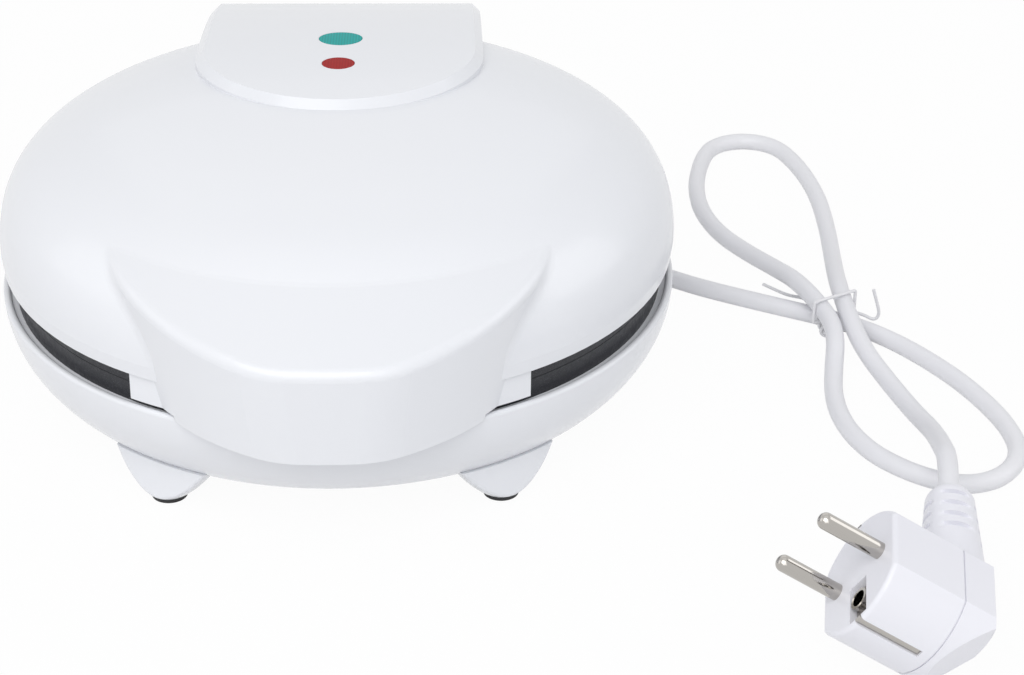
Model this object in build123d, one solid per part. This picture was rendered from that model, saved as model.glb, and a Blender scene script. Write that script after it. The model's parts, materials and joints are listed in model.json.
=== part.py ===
from build123d import *
import math
import os

# All sizes are millimetres. The origin is on the table, under the middle of the body.
# +Z is up, the handle points to -Y and +X is the user's right.

# Levels of the body
floor_gap = 12.0            # table to the flat underside of the bowl
bowl_height = 27.0          # underside to the lip of the bowl
lip_to_seam = 5.0           # lip to the plane where the two plates meet
seam_to_edge = 5.0          # that plane to the lower edge of the lid
edge_to_widest = 4.3        # lower edge to the widest level of the lid
dome_height = 42.7          # widest level to the crown of the lid
lip_z = floor_gap + bowl_height
seam_z = lip_z + lip_to_seam
edge_z = seam_z + seam_to_edge
widest_z = edge_z + edge_to_widest
crown_z = widest_z + dome_height

# Shells
body_radius = 105.1         # lid at its widest
shell_wall = 2.4
lip_bulge = 0.3             # bowl lip beyond the lid
lip_round = 1.0
edge_tuck = 0.5             # lower edge of the lid inside its widest
lip_radius = body_radius + lip_bulge
dome_side_pull = 0.59       # how long the lid's outline stays upright, as a share of its height
dome_crown_pull = 0.84      # how long it stays level, as a share of its radius
bowl_side_pull = 0.77
bowl_foot_pull = 0.42
bowl_curve_depth = 49.3     # full depth of the bowl's curve, which the flat underside cuts off
bowl_bottom_round = 4.0

# Handle, a tongue that grows out of the front of the lid
nose_reach = 18.1           # nose beyond the widest radius, at the brim edge
nose_edge_drop = 28.0       # crown of the lid down to the nose's edge
nose_draft = 6.5
flank_inset = 17.1          # curve of the handle's sides, tighter than the body's
flank_x = 19.9              # its middle off the handle's middle line
flank_back = 61.7           # its middle behind the front of the body
flank_edge_drop = 22.0      # crown of the lid down to the sides' edge
flank_draft = 8.0
nose_corner_round = 30.0
crease_round = 6.0          # hollow where the handle leaves the dome
brim_inset = 11.1           # widest radius in to the circle where the brim leaves the dome
brim_drop = 16.6            # crown of the lid down to that circle
brim_fall = 0.374           # fall of the brim per millimetre outward
tongue_root = 39.1          # the handle is left out this far behind the front of the body
brim_round = 3.4
skirt_below_lip = 1.0
apron_inset = 47.6          # half width of the apron, less than the widest radius
apron_tuck = 1.6            # apron face inside the widest radius
apron_above_lip = 1.0
apron_wall = 1.9
ring_wall_rise = 11.0       # height of the lid's inner ring wall, under the handle and the housing
liner_thickness = 2.0
liner_above_lip = 2.0
liner_clearance = 0.15
liner_post_x = 20.0
liner_post_inset = 16.2     # nose of the handle back to the posts

# Hinge housing at the back of the lid
housing_half_width = 45.8
housing_length = 86.9       # back of the housing to the centre of its rounded front
housing_tail = 11.9         # back of the housing behind the hinge
housing_wall = 2.4
housing_bevel = 2.6
housing_corner = 3.0
housing_below_hinge = 2.0
wire_notch = 7.5            # notch in the back of the housing that clears the wires when the lid is open
housing_ridge = [           # top of the housing: distance ahead of its back, level above the crown
    (152.9, 2.4), (96.9, 1.6), (71.9, -0.4), (42.9, -5.0), (17.9, -11.6), (-3.1, -21.4),
]

# Hinge
hinge_reach = 5.9           # hinge axis behind the widest radius
hinge_above_seam = 3.0
knuckle_radius = 7.5
knuckle_width = 10.6
knuckle_front = 12.8        # front of the knuckle arm ahead of the hinge
knuckle_root = 7.8          # back of its foot ahead of the hinge
hinge_gap = 0.4
ear_thickness = 6.8
ear_radius = 8.0
pin_radius = 2.0
pin_clearance = 0.05
pin_tail = 1.0
ear_blind = 1.4
pin_end_gap = 0.2

# Baking plates
plate_clearance = 1.4       # plate to the inside of the lid at its widest
plate_skin = 3.0
plate_rim = 2.6
plate_gap = 0.1             # each plate face from the seam plane
plate_skirt = 6.2
ring_web = 12.5             # metal between two neighbouring cavities
ring_margin = 10.8          # outer cavities to the edge of the plate
ring_section = 9.5          # half width of a ring's section
ring_draw = 1.5             # straight side above the round
ring_count = 6
cup_wall = 2.2
cup_bevel = 3.0
post_wall = 2.8
ledge_width = 4.5
ledge_thickness = 2.0

# Heating
heater_tube = 3.25
heater_open = 14.0          # half of the open angle of the heater, degrees
terminal_radius = 1.6
terminal_length = 9.0
seat_gap = 0.1
shield_gap = 0.2
shield_sheet = 0.8
shield_inset = 15.3         # edge of the plate in to the dish
shield_rim = 6.0
boss_radius = 4.5
shell_boss_radius = 6.0
screw_radius = 2.0
screw_play = 0.15
screw_head = 3.7
screw_head_height = 2.0
screw_grip = 12.0
thermostat_radius = 7.5
thermostat_height = 8.0
fuse_radius = 2.0
fuse_length = 11.0

# Indicator lights
red_ahead = 14.0            # ahead of the centre of the housing's round front
red_radius = 5.15
green_behind = 10.0         # behind that centre
green_radius = 7.0
lens_depth = 4.0
lens_flange = 1.4
lens_play = 0.08
board_drop = 16.0           # lamp board under the crown
board_thickness = 1.6
board_half_width = 11.0
lamp_radius = 2.9
lamp_height = 7.0

# Feet
foot_inset = 15.6           # widest radius in to the middles of the feet
foot_angle = 56.43          # degrees, from the body's left-right line
foot_top_radius = 16.8
foot_height = 1.8           # top of the foot above the bowl's underside
foot_bottom_radius = 6.2
foot_swell = 1.0
foot_front_inset = 10.4     # widest radius in to the foot's front, at its top
foot_front_flare = 1.6      # how far the front stands out at the bottom
foot_edge = 1.0             # round where the front meets the sides
foot_pad_radius = 5.3
foot_pad_show = 1.8
foot_pad_sunk = 1.4

# Cord box at the back of the bowl
box_inset = 1.8             # side of the box inside the side of the housing
box_tail = 10.0             # back of the box behind the hinge
box_below_lip = 6.5
box_above_floor = 2.0       # underside of the box above the bowl's underside
box_wall = 2.2
box_round = 3.0
cover_clearance = 0.15
cover_post_inset = 8.0      # side of the box in to the cover's posts
cover_post_behind = 1.0     # behind the hinge
wire_x = 12.0
wire_radius = 1.9
wire_hole = 3.0
clamp_half_width = 9.5
clamp_depth = 5.0
clamp_gap = 0.4
clamp_screw_x = 6.6
clamp_screw_radius = 1.3
terminal_inset = 22.5       # side of the box in to the middle of the terminal block
terminal_half_width = 9.0
terminal_front = 6.5        # ahead of the hinge
terminal_depth = 10.0
terminal_height = 8.0
terminal_pitch = 5.6
terminal_bore = 1.6

# Cord, its strain relief and its tie
cord_radius = 3.0
cord_z = 3.1
hump_z = 11.2               # the two strands that cross over the first one
outlet_rise = 8.5           # middle of the outlet above the underside of the box
outlet_radius = 5.2
relief_length = 30.0
relief_flange = 7.4
relief_flange_depth = 2.0
relief_end_radius = 4.0
tie_radius = 0.55
tie_middle_z = 11.0
tie_centre = (162.2, 19.9, tie_middle_z)
tie_way = (0.875, 0.485, 0)
tie_half_width = 8.4
tie_high = 3.95
tie_corner = 3.8

# Angled plug: its frame, then its sizes in that frame
plug_face = (142.4, -161.0, 29.25)
pin_direction = (-0.852, 0.036, 0.522)
pin_line = (0.505, -0.205, 0.839)
plug_radius = 18.7
plug_flat = 16.0
plug_depth = 38.0
plug_flat_depth = 33.0
plug_chin_start = 24.0      # the chin slopes from this depth on the earth side
plug_chin_end = 8.0         # to this distance from the middle at the back
plug_cheek_start = 26.5     # the near cheek slopes from this depth
plug_edge = 1.4
plug_seam_depth = 23.0      # fine groove between the front and back parts of the moulding
plug_seam = 0.5
plug_pin_radius = 2.4
plug_pin_length = 19.6
plug_pin_spacing = 19.0
plug_pin_root = 6.0         # tail of each pin inside the moulding
plug_pin_tail = 1.8
earth_hole_y = -10.0
earth_hole_radius = 2.4
earth_recess_width = 7.2
earth_recess_depth = 3.0
earth_recess_start = 4.2    # from the middle of the face
earth_slot_half = 1.25
earth_slot_depth = 1.6
earth_slot_length = 20.0
earth_sheet = 0.8
earth_play = 0.15
earth_reach = 16.0
boot_depth = 31.5
boot_start = 4.0
boot_end = 51.5
boot_root_radius = 12.0
boot_end_radius = 4.7
boot_turn = 24.0
boot_first_slot = 4.4
boot_slots = 4
boot_slot_pitch = 4.9
boot_slot_width = 1.7
boot_slot_depth = 1.3

# Sizes and places that follow from the ones above
nose_edge_z = crown_z - nose_edge_drop
flank_edge_z = crown_z - flank_edge_drop
flank_radius = body_radius - flank_inset
flank_y = flank_back - body_radius
brim_radius = body_radius - brim_inset
tongue_back_y = tongue_root - body_radius
apron_radius = body_radius - apron_tuck
apron_half_width = body_radius - apron_inset
ring_wall_top = edge_z + ring_wall_rise
liner_post_y = liner_post_inset - nose_reach - body_radius
hinge_y = body_radius + hinge_reach
hinge_z = seam_z + hinge_above_seam
housing_back_y = hinge_y + housing_tail
housing_front_y = housing_back_y - housing_length
housing_bottom = hinge_z - housing_below_hinge
ear_inner_x = housing_half_width - ear_thickness
knuckle_outer_x = ear_inner_x - hinge_gap
knuckle_inner_x = knuckle_outer_x - knuckle_width
knuckle_front_y = hinge_y - knuckle_front
knuckle_root_y = hinge_y - knuckle_root
red_y = housing_front_y - red_ahead
green_y = housing_front_y + green_behind
plate_radius = body_radius - shell_wall - plate_clearance
lower_seat_z = seam_z - plate_gap - plate_skirt
upper_seat_z = seam_z + plate_gap + plate_skirt
cavity_radius = (plate_radius - ring_web - ring_margin) / 3
ring_middle = cavity_radius - ring_section
ring_spacing = 2 * cavity_radius + ring_web
post_core = ring_middle - ring_section - post_wall
boss_circle = ring_spacing / math.sqrt(3)
shield_radius = plate_radius - shield_inset
foot_x = (body_radius - foot_inset) * math.cos(math.radians(foot_angle))
foot_y = (body_radius - foot_inset) * math.sin(math.radians(foot_angle))
foot_top_z = floor_gap + foot_height
box_half_width = housing_half_width - box_inset
box_back_y = hinge_y + box_tail
box_top = lip_z - box_below_lip
box_bottom = floor_gap + box_above_floor
outlet_z = box_bottom + outlet_rise
cover_post_x = box_half_width - cover_post_inset
cover_post_y = hinge_y + cover_post_behind
clamp_y = hinge_y
terminal_block_x = terminal_inset - box_half_width
terminal_front_y = hinge_y - terminal_front
cup_radius = cavity_radius + cup_wall
cup_height = ring_section + ring_draw + cup_wall
heater_level = cup_height + seat_gap + heater_tube
shield_level = heater_level + heater_tube + shield_gap
housing_level = crown_z - board_drop

FAR = 400.0
built = {}
os.makedirs("parts", exist_ok=True)


def keep(name, *solids):
    """Write one node from one or more separate solids."""
    pieces = []
    for solid in solids:
        pieces.extend(solid.solids())
    node = pieces[0] if len(pieces) == 1 else Compound(children=pieces)
    built[name] = node
    export_step(node, "parts/" + name + ".step")


def quarter(radius, height, base_z, side_pull, crown_pull, sign):
    """Smooth outline from the widest point to the axis."""
    end_z = base_z + sign * height
    return Bezier(
        (radius, 0, base_z), (radius, 0, base_z + sign * side_pull * height),
        (crown_pull * radius, 0, end_z), (0, 0, end_z),
    )


def turned(*edges):
    """Solid of revolution about the Z axis from edges in the XZ plane."""
    return revolve(make_face(edges), Axis.Z)


def turned_points(points):
    """Solid of revolution about the Z axis from (radius, z) corners."""
    corners = [(r, 0, z) for r, z in points]
    return revolve(make_face(Polyline(*corners, close=True)), Axis.Z)


def drum(radius, low, high, x=0.0, y=0.0):
    """Upright cylinder from level low to level high."""
    return Pos(x, y, (low + high) / 2) * Cylinder(radius, high - low)


def block(x0, x1, y0, y1, z0, z1):
    """Box between two corners."""
    return Pos((x0 + x1) / 2, (y0 + y1) / 2, (z0 + z1) / 2) * Box(x1 - x0, y1 - y0, z1 - z0)


def bar(x0, x1, radius, y, z):
    """Round bar along X."""
    return Pos((x0 + x1) / 2, y, z) * Rot(0, 90, 0) * Cylinder(radius, x1 - x0)


def rod(y0, y1, radius, x, z):
    """Round rod along Y."""
    return Pos(x, (y0 + y1) / 2, z) * Rot(90, 0, 0) * Cylinder(radius, y1 - y0)


def around(count, radius, start):
    """Places on a circle, as (x, y) pairs."""
    places = []
    for turn in range(count):
        angle = math.radians(start + 360 * turn / count)
        places.append((radius * math.cos(angle), radius * math.sin(angle)))
    return places


def tube(points, bends, radius):
    """Round tube along straight runs with tangent arcs."""
    path = FilletPolyline(*points, radius=bends)
    return sweep(Plane(origin=path @ 0, z_dir=path % 0) * Circle(radius), path=path)


def dome(inset, bottom):
    """Filled dome of the lid, moved inward by inset."""
    radius = body_radius - inset
    foot = radius - edge_tuck * (widest_z - bottom) / edge_to_widest
    return turned(
        quarter(radius, dome_height - inset, widest_z, dome_side_pull, dome_crown_pull, 1),
        Line((0, 0, crown_z - inset), (0, 0, bottom)),
        Line((0, 0, bottom), (foot, 0, bottom)),
        Line((foot, 0, bottom), (radius, 0, widest_z)),
    )


def bowl(inset, bottom):
    """Filled bowl of the base, moved inward by inset, from the level bottom to the lip."""
    radius = lip_radius - inset
    depth = bowl_curve_depth - inset
    whole = turned(
        quarter(radius, depth, lip_z, bowl_side_pull, bowl_foot_pull, -1),
        Line((0, 0, lip_z - depth), (0, 0, lip_z)),
        Line((0, 0, lip_z), (radius, 0, lip_z)),
    )
    return whole & drum(FAR, bottom, FAR)


def drafted(radius, edge_level, draft, x, y):
    """Cone with its axis upright, of the given radius at edge_level, narrower below."""
    slope = math.tan(math.radians(draft))
    low = radius - edge_level * slope
    high = radius + (crown_z - edge_level) * slope
    return Pos(x, y, crown_z / 2) * Cone(low, high, crown_z)


def tongue(inset, bottom):
    """Filled handle, moved inward by inset, under its conical brim."""
    nose = drafted(body_radius + nose_reach - inset, nose_edge_z, nose_draft, 0, 0)
    left = drafted(flank_radius - inset, flank_edge_z, flank_draft, flank_x, flank_y)
    right = drafted(flank_radius - inset, flank_edge_z, flank_draft, -flank_x, flank_y)
    plan = nose & left & right
    plan &= block(-FAR, FAR, -FAR, tongue_back_y, 0, FAR)
    upright = [e for e in plan.edges() if e.bounding_box().size.Z > crown_z / 2]
    corners = [e for e in upright if e.center().Y < flank_y - flank_radius / 2]
    plan = fillet(corners, nose_corner_round - inset)
    peak = crown_z - brim_drop + brim_fall * brim_radius - inset
    reach = body_radius + 2 * nose_reach
    brim = turned_points([(0, bottom), (reach, bottom), (reach, peak - brim_fall * reach), (0, peak)])
    body = plan & brim
    top = [f for f in body.faces() if f.normal_at().Z > 0.5][0]
    rim = [e for e in top.edges() if e.center().Y < tongue_back_y - 0.5]
    return fillet(rim, brim_round - inset)


def housing(inset):
    """Filled hinge housing, moved inward by inset."""
    half = housing_half_width - inset
    back = housing_back_y - inset
    low = housing_bottom - inset
    ridge = [(0, housing_back_y - ahead, crown_z + rise - inset) for ahead, rise in housing_ridge]
    side = make_face([
        Spline(ridge),
        Line(ridge[-1], (0, ridge[-1][1], low)),
        Line((0, ridge[-1][1], low), (0, ridge[0][1], low)),
        Line((0, ridge[0][1], low), ridge[0]),
    ])
    profile = extrude(side, half + 5, dir=(1, 0, 0), both=True)
    plan = drum(half, low, FAR, 0, housing_front_y)
    plan += block(-half, half, housing_front_y, back, low, FAR)
    body = plan & profile
    top = body.faces().sort_by(Axis.Z)[-1]
    return chamfer(top.outer_wire().edges(), housing_bevel)


def plate():
    """Baking plate with its face at z = 0 and its back towards +Z."""
    body = drum(plate_radius, 0, plate_skin)
    body += drum(plate_radius, 0, plate_skirt) - drum(plate_radius - plate_rim, 0, plate_skirt)
    cup = drum(cup_radius, 0, cup_height)
    cup = chamfer(cup.edges().sort_by(Axis.Z)[-1], cup_bevel)
    cavity = turned(
        Line((ring_middle - ring_section, 0, 0), (ring_middle + ring_section, 0, 0)),
        Line((ring_middle + ring_section, 0, 0), (ring_middle + ring_section, 0, ring_draw)),
        ThreePointArc(
            (ring_middle + ring_section, 0, ring_draw),
            (ring_middle, 0, ring_draw + ring_section),
            (ring_middle - ring_section, 0, ring_draw),
        ),
        Line((ring_middle - ring_section, 0, ring_draw), (ring_middle - ring_section, 0, 0)),
    )
    core = drum(post_core, plate_skin, cup_height)
    places = [(0, 0)] + around(ring_count, ring_spacing, 90)
    for x, y in places:
        body += Pos(x, y, 0) * cup
    for x, y in places:
        body -= Pos(x, y, 0) * cavity
        body -= Pos(x, y, 0) * core
    for x, y in around(3, boss_circle, 0):
        body += drum(boss_radius, plate_skin, shield_level, x, y)
        body -= drum(screw_radius, shield_level - screw_grip, shield_level, x, y)
    return body


def heater():
    """Ring heater in the plate's own frame, with its two terminals towards the back."""
    sweep_angle = 360 - 2 * heater_open
    start = Plane(origin=(ring_spacing, 0, heater_level), x_dir=(1, 0, 0), z_dir=(0, 1, 0))
    section = start * Circle(heater_tube)
    ring = Rot(0, 0, 90 + heater_open) * revolve(section, Axis.Z, sweep_angle)
    for side in (1, -1):
        angle = math.radians(90 + side * heater_open)
        foot = Vector(ring_spacing * math.cos(angle), ring_spacing * math.sin(angle), heater_level)
        along = Vector(math.sin(angle), -math.cos(angle), 0) * side
        ring += Plane(origin=foot, z_dir=along) * Cylinder(
            terminal_radius, terminal_length, align=(Align.CENTER, Align.CENTER, Align.MIN))
    return ring


def shield():
    """Reflector dish in the plate's own frame."""
    sheet = drum(shield_radius, shield_level, shield_level + shield_sheet)
    rim_low = shield_level - shield_rim
    sheet += drum(shield_radius, rim_low, shield_level)
    sheet -= drum(shield_radius - shield_sheet, rim_low, shield_level)
    for x, y in around(6, boss_circle, 0):
        sheet -= drum(screw_radius + screw_play, shield_level - 1, shield_level + shield_sheet + 1, x, y)
    return sheet


def screws(places, seat, sign):
    """Pan-head screws whose heads sit at level seat, with shanks in direction sign."""
    made = []
    for x, y in places:
        head = sorted((seat, seat - sign * screw_head_height))
        shank = sorted((seat, seat + sign * (shield_sheet + screw_grip - 1)))
        made.append(drum(screw_head, head[0], head[1], x, y) + drum(screw_radius, shank[0], shank[1], x, y))
    return made


def thermostat():
    """Disc thermostat on the back of a plate, in the plate's own frame."""
    x, y = around(3, boss_circle, 60)[1]
    body = drum(thermostat_radius, plate_skin, plate_skin + thermostat_height, x, y)
    top = plate_skin + thermostat_height
    for side in (1, -1):
        body += Pos(x + side * thermostat_radius / 2, y, top + 2) * Box(3.5, 0.8, 4)
    return body


to_lid = Pos(0, 0, seam_z + plate_gap)
to_base = Pos(0, 0, seam_z - plate_gap) * Rot(180, 0, 0) * Rot(0, 0, 180)


def lid_shell():
    """Upper shell with its handle skirt, hinge housing, ears and bosses."""
    ring_keep = dome(0.2, edge_z) & drum(FAR, 0, ring_wall_top)
    apron_low = lip_z + apron_above_lip
    handle = tongue(0, lip_z - skirt_below_lip) - drum(lip_radius + 0.6, 0, apron_low)
    back = housing(0) - drum(body_radius - edge_tuck, 0, edge_z)
    apron = drum(apron_radius, apron_low, edge_z + 1) & block(
        -apron_half_width, apron_half_width, -FAR, -brim_radius / 2, 0, FAR)
    shell = dome(0, edge_z) + handle
    creases = [e for e in shell.edges() if e.bounding_box().size.Z > 2 * edge_to_widest]
    creases = [e for e in creases if abs(e.center().X) > brim_radius / 2 and e.center().Y < tongue_back_y]
    shell = fillet(creases, crease_round) + back + apron
    shell -= dome(shell_wall, edge_z)
    shell -= drum(apron_radius - apron_wall, 0, edge_z)
    shell -= tongue(shell_wall, 0) - ring_keep - drum(apron_radius, 0, edge_z)
    shell -= housing(housing_wall) - ring_keep
    ledge = drum(body_radius, upper_seat_z, upper_seat_z + ledge_thickness)
    ledge -= drum(plate_radius - ledge_width, upper_seat_z, upper_seat_z + ledge_thickness)
    shell += ledge & dome(shell_wall / 2, edge_z)
    shield_top = seam_z + plate_gap + shield_level + shield_sheet
    for x, y in around(3, boss_circle, 60):
        boss = drum(boss_radius, shield_top, FAR, x, y)
        shell += boss & (dome(shell_wall / 2, edge_z) + housing(shell_wall / 2))
        shell -= drum(screw_radius, shield_top, shield_top + screw_grip, x, y)
    liner_top = lip_z + liner_above_lip + liner_thickness
    for side in (1, -1):
        post = drum(boss_radius, liner_top, crown_z, side * liner_post_x, liner_post_y)
        shell += post & tongue(shell_wall / 2, 0)
        shell -= drum(screw_radius, liner_top, liner_top + screw_grip, side * liner_post_x, liner_post_y)
        inner, outer = sorted((side * ear_inner_x, side * housing_half_width))
        ear = block(inner, outer, hinge_y - ear_radius, housing_back_y - 1, hinge_z, FAR) & housing(0)
        shell += ear + bar(inner, outer, ear_radius, hinge_y, hinge_z)
        tip = side * (housing_half_width - ear_blind)
        inner, outer = sorted((side * ear_inner_x, tip))
        shell -= bar(inner, outer, pin_radius + pin_clearance, hinge_y, hinge_z)
    for y, radius in ((red_y, red_radius), (green_y, green_radius)):
        shell -= drum(radius + lens_play, housing_level, FAR, 0, y)
    notch_top = housing_bottom + wire_notch
    shell -= block(wire_x - wire_hole, wire_x + wire_hole, hinge_y + ear_radius, FAR, 0, notch_top)
    post_y = (red_y + red_radius + green_y - green_radius) / 2
    shell += drum(2.6, housing_level + board_thickness, crown_z, 0, post_y) & housing(housing_wall / 2)
    return shell


def lens(y, radius):
    """Indicator lens, flush with the top of the housing."""
    body = drum(radius, crown_z - lens_depth - 2, FAR, 0, y) & housing(0)
    flange = drum(radius + lens_flange, crown_z - lens_depth - 2, FAR, 0, y) & housing(housing_wall)
    return body + flange


def base_bowl():
    """Base shell with its ledge, cord box, hinge knuckles and bosses."""
    shell = bowl(0, floor_gap)
    rims = [e for e in shell.edges() if abs(e.center().Z - floor_gap) < 0.01]
    shell = fillet(rims, bowl_bottom_round)
    box = block(-box_half_width, box_half_width, hinge_y / 2, box_back_y, box_bottom, box_top)
    corners = [e for e in box.edges() if e.center().Y > box_back_y - 1]
    box = fillet(corners, box_round)
    box_inner_x = box_half_width - box_wall
    inside = block(-box_inner_x, box_inner_x, hinge_y / 2, box_back_y - box_wall, 0, box_top - box_wall)
    inside -= bowl(0, 0)
    shell += box
    shell -= bowl(shell_wall, floor_gap + shell_wall)
    shell -= inside
    mouth = [e for e in shell.edges() if abs(e.center().Z - lip_z) < 0.01]
    shell = fillet(mouth, lip_round)
    ledge = drum(lip_radius, lower_seat_z - ledge_thickness, lower_seat_z)
    ledge -= drum(plate_radius - ledge_width, lower_seat_z - ledge_thickness, lower_seat_z)
    shell += ledge & bowl(shell_wall / 2, floor_gap)
    shield_low = seam_z - plate_gap - shield_level - shield_sheet
    floor_top = floor_gap + shell_wall
    for x, y in around(3, boss_circle, 180):
        shell += drum(shell_boss_radius, floor_top - 1, shield_low, x, y)
        shell -= drum(screw_head + 2 * screw_play, 0, floor_top, x, y)
        shell -= drum(screw_radius + screw_play, floor_top, shield_low, x, y)
    for side in (1, -1):
        inner, outer = sorted((side * knuckle_inner_x, side * knuckle_outer_x))
        arm = block(inner, outer, knuckle_front_y, hinge_y, hinge_z - knuckle_radius, hinge_z - 1)
        arm += block(inner, outer, knuckle_front_y, knuckle_root_y, box_top - box_wall,
                     hinge_z - knuckle_radius)
        arm += bar(inner, outer, knuckle_radius, hinge_y, hinge_z)
        shell += arm - bar(inner, outer, pin_radius, hinge_y, hinge_z)
        post = drum(boss_radius, box_bottom + box_wall, box_top - 1, side * cover_post_x, cover_post_y)
        shell += post
        shell -= drum(clamp_screw_radius, box_bottom + box_wall, box_top - box_wall - 1,
                      side * cover_post_x, cover_post_y)
    saddle = block(-clamp_half_width, clamp_half_width, clamp_y - clamp_depth / 2, clamp_y + clamp_depth / 2,
                   outlet_z + clamp_gap / 2, box_top - 1)
    saddle -= rod(clamp_y - clamp_depth, clamp_y + clamp_depth, cord_radius, 0, outlet_z)
    shell += saddle
    for side in (1, -1):
        shell -= drum(clamp_screw_radius, outlet_z, box_top - box_wall - 1, side * clamp_screw_x, clamp_y)
    shell -= rod(box_back_y - box_wall - 1, FAR, outlet_radius, 0, outlet_z)
    shell -= drum(wire_hole, box_top - box_wall - 1, FAR, wire_x, hinge_y)
    shell -= rod(hinge_y / 2, knuckle_root_y, wire_hole, -wire_x - 3, outlet_z + 2)
    return shell


def box_cover():
    """Cover that closes the cord box from below."""
    c = cover_clearance
    cover = block(-box_half_width + box_wall + c, box_half_width - box_wall - c, hinge_y / 2,
                  box_back_y - box_wall - c, box_bottom, box_bottom + box_wall)
    cover -= bowl(-c, 0)
    for side in (1, -1):
        cover -= drum(clamp_screw_radius + screw_play, 0, FAR, side * cover_post_x, cover_post_y)
        cover -= drum(2.7, 0, box_bottom + 1.2, side * cover_post_x, cover_post_y)
    return cover


def small_screw(x, y, seat, length):
    """Small pan-head screw that goes upward from level seat."""
    return drum(2.4, seat - 1.1, seat, x, y) + drum(clamp_screw_radius, seat, seat + length, x, y)


def foot(x, y):
    """Tapered foot whose top follows the bowl."""
    low = foot_pad_show
    swell = ((foot_bottom_radius + foot_top_radius) / 2 + foot_swell, 0, (low + foot_top_z) / 2)
    body = turned(
        Line((0, 0, low), (foot_bottom_radius, 0, low)),
        ThreePointArc((foot_bottom_radius, 0, low), swell, (foot_top_radius, 0, foot_top_z)),
        Line((foot_top_radius, 0, foot_top_z), (0, 0, foot_top_z)),
        Line((0, 0, foot_top_z), (0, 0, low)),
    )
    front = body_radius - foot_front_inset
    trim = turned_points([(0, low), (front + foot_front_flare, low), (front, foot_top_z), (0, foot_top_z)])
    body = (Pos(x, y, 0) * body) & trim
    rims = [e for e in body.edges() if math.hypot(e.center().X, e.center().Y) > front - foot_front_flare]
    rims = [e for e in rims if e.bounding_box().size.Z > foot_height]
    body = fillet(rims, foot_edge) - bowl(0, floor_gap)
    body -= block(-box_half_width, box_half_width, hinge_y / 2, box_back_y, box_bottom, box_top)
    return body - drum(foot_pad_radius, 0, low + foot_pad_sunk, x, y)


def relief():
    """Strain relief bushing in the back wall of the cord box."""
    wall_in = box_back_y - box_wall
    end = box_back_y + relief_length
    flange_end = box_back_y + relief_flange_depth
    outline = [
        (cord_radius, wall_in - 2), (outlet_radius + 0.8, wall_in - 2), (outlet_radius + 0.8, wall_in),
        (outlet_radius, wall_in), (outlet_radius, box_back_y), (relief_flange, box_back_y),
        (relief_flange, flange_end), (outlet_radius + 0.4, flange_end), (relief_end_radius, end),
        (cord_radius, end),
    ]
    spun = turned_points([(r, y) for r, y in outline])
    return Pos(0, 0, outlet_z) * Rot(-90, 0, 0) * spun


# Lid pieces
keep("upper_shell", lid_shell())
liner_low = lip_z + liner_above_lip
liner = tongue(shell_wall + liner_clearance, 0) & drum(FAR, liner_low, liner_low + liner_thickness)
liner -= drum(apron_radius + liner_clearance, 0, FAR)
for side in (1, -1):
    liner -= drum(screw_radius + screw_play, 0, FAR, side * liner_post_x, liner_post_y)
keep("handle_liner", liner)
liner_screws = [
    drum(screw_head, liner_low - 1.4, liner_low, side * liner_post_x, liner_post_y)
    + drum(screw_radius, liner_low, liner_low + screw_grip, side * liner_post_x, liner_post_y)
    for side in (1, -1)
]
keep("handle_liner_screws", *liner_screws)
plate_body = plate()
keep("upper_baking_plate", to_lid * plate_body)
keep("upper_heater", to_lid * heater())
keep("upper_heat_shield", to_lid * shield())
keep("upper_thermostat", to_lid * thermostat())
fuse_x, fuse_y = around(3, boss_circle, 60)[2]
keep("thermal_fuse", to_lid * (Pos(fuse_x, fuse_y, plate_skin + fuse_radius) * Rot(0, 90, 0)
                               * Cylinder(fuse_radius, fuse_length)))
keep("red_lens", lens(red_y, red_radius))
keep("green_lens", lens(green_y, green_radius))
board = block(-board_half_width, board_half_width, red_y - red_radius - 3, green_y + green_radius + 3,
              housing_level, housing_level + board_thickness)
keep("lamp_board", board)
lamps = []
board_top = housing_level + board_thickness
for y in (red_y, green_y):
    glass = drum(lamp_radius, board_top, board_top + lamp_height, 0, y)
    lamps.append(chamfer(glass.edges().sort_by(Axis.Z)[-1], lamp_radius / 2))
keep("indicator_lamps", *lamps)
upper_wire_start = green_y + green_radius + 3
upper_wire = tube(
    [(0, upper_wire_start, housing_level), (0, upper_wire_start + 8, housing_level),
     (wire_x, hinge_y - 11, hinge_z + 21), (wire_x, hinge_y, hinge_z + 15), (wire_x, hinge_y, hinge_z + 1.5)],
    [6.0, 9.0, 5.0], wire_radius)
keep("upper_wiring", upper_wire)
lid_shield_low = seam_z + plate_gap + shield_level
lid_screws = screws(around(3, boss_circle, 0), lid_shield_low + shield_sheet, -1)
lid_screws += screws(around(3, boss_circle, 60), lid_shield_low, 1)
keep("upper_plate_screws", *lid_screws)

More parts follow.
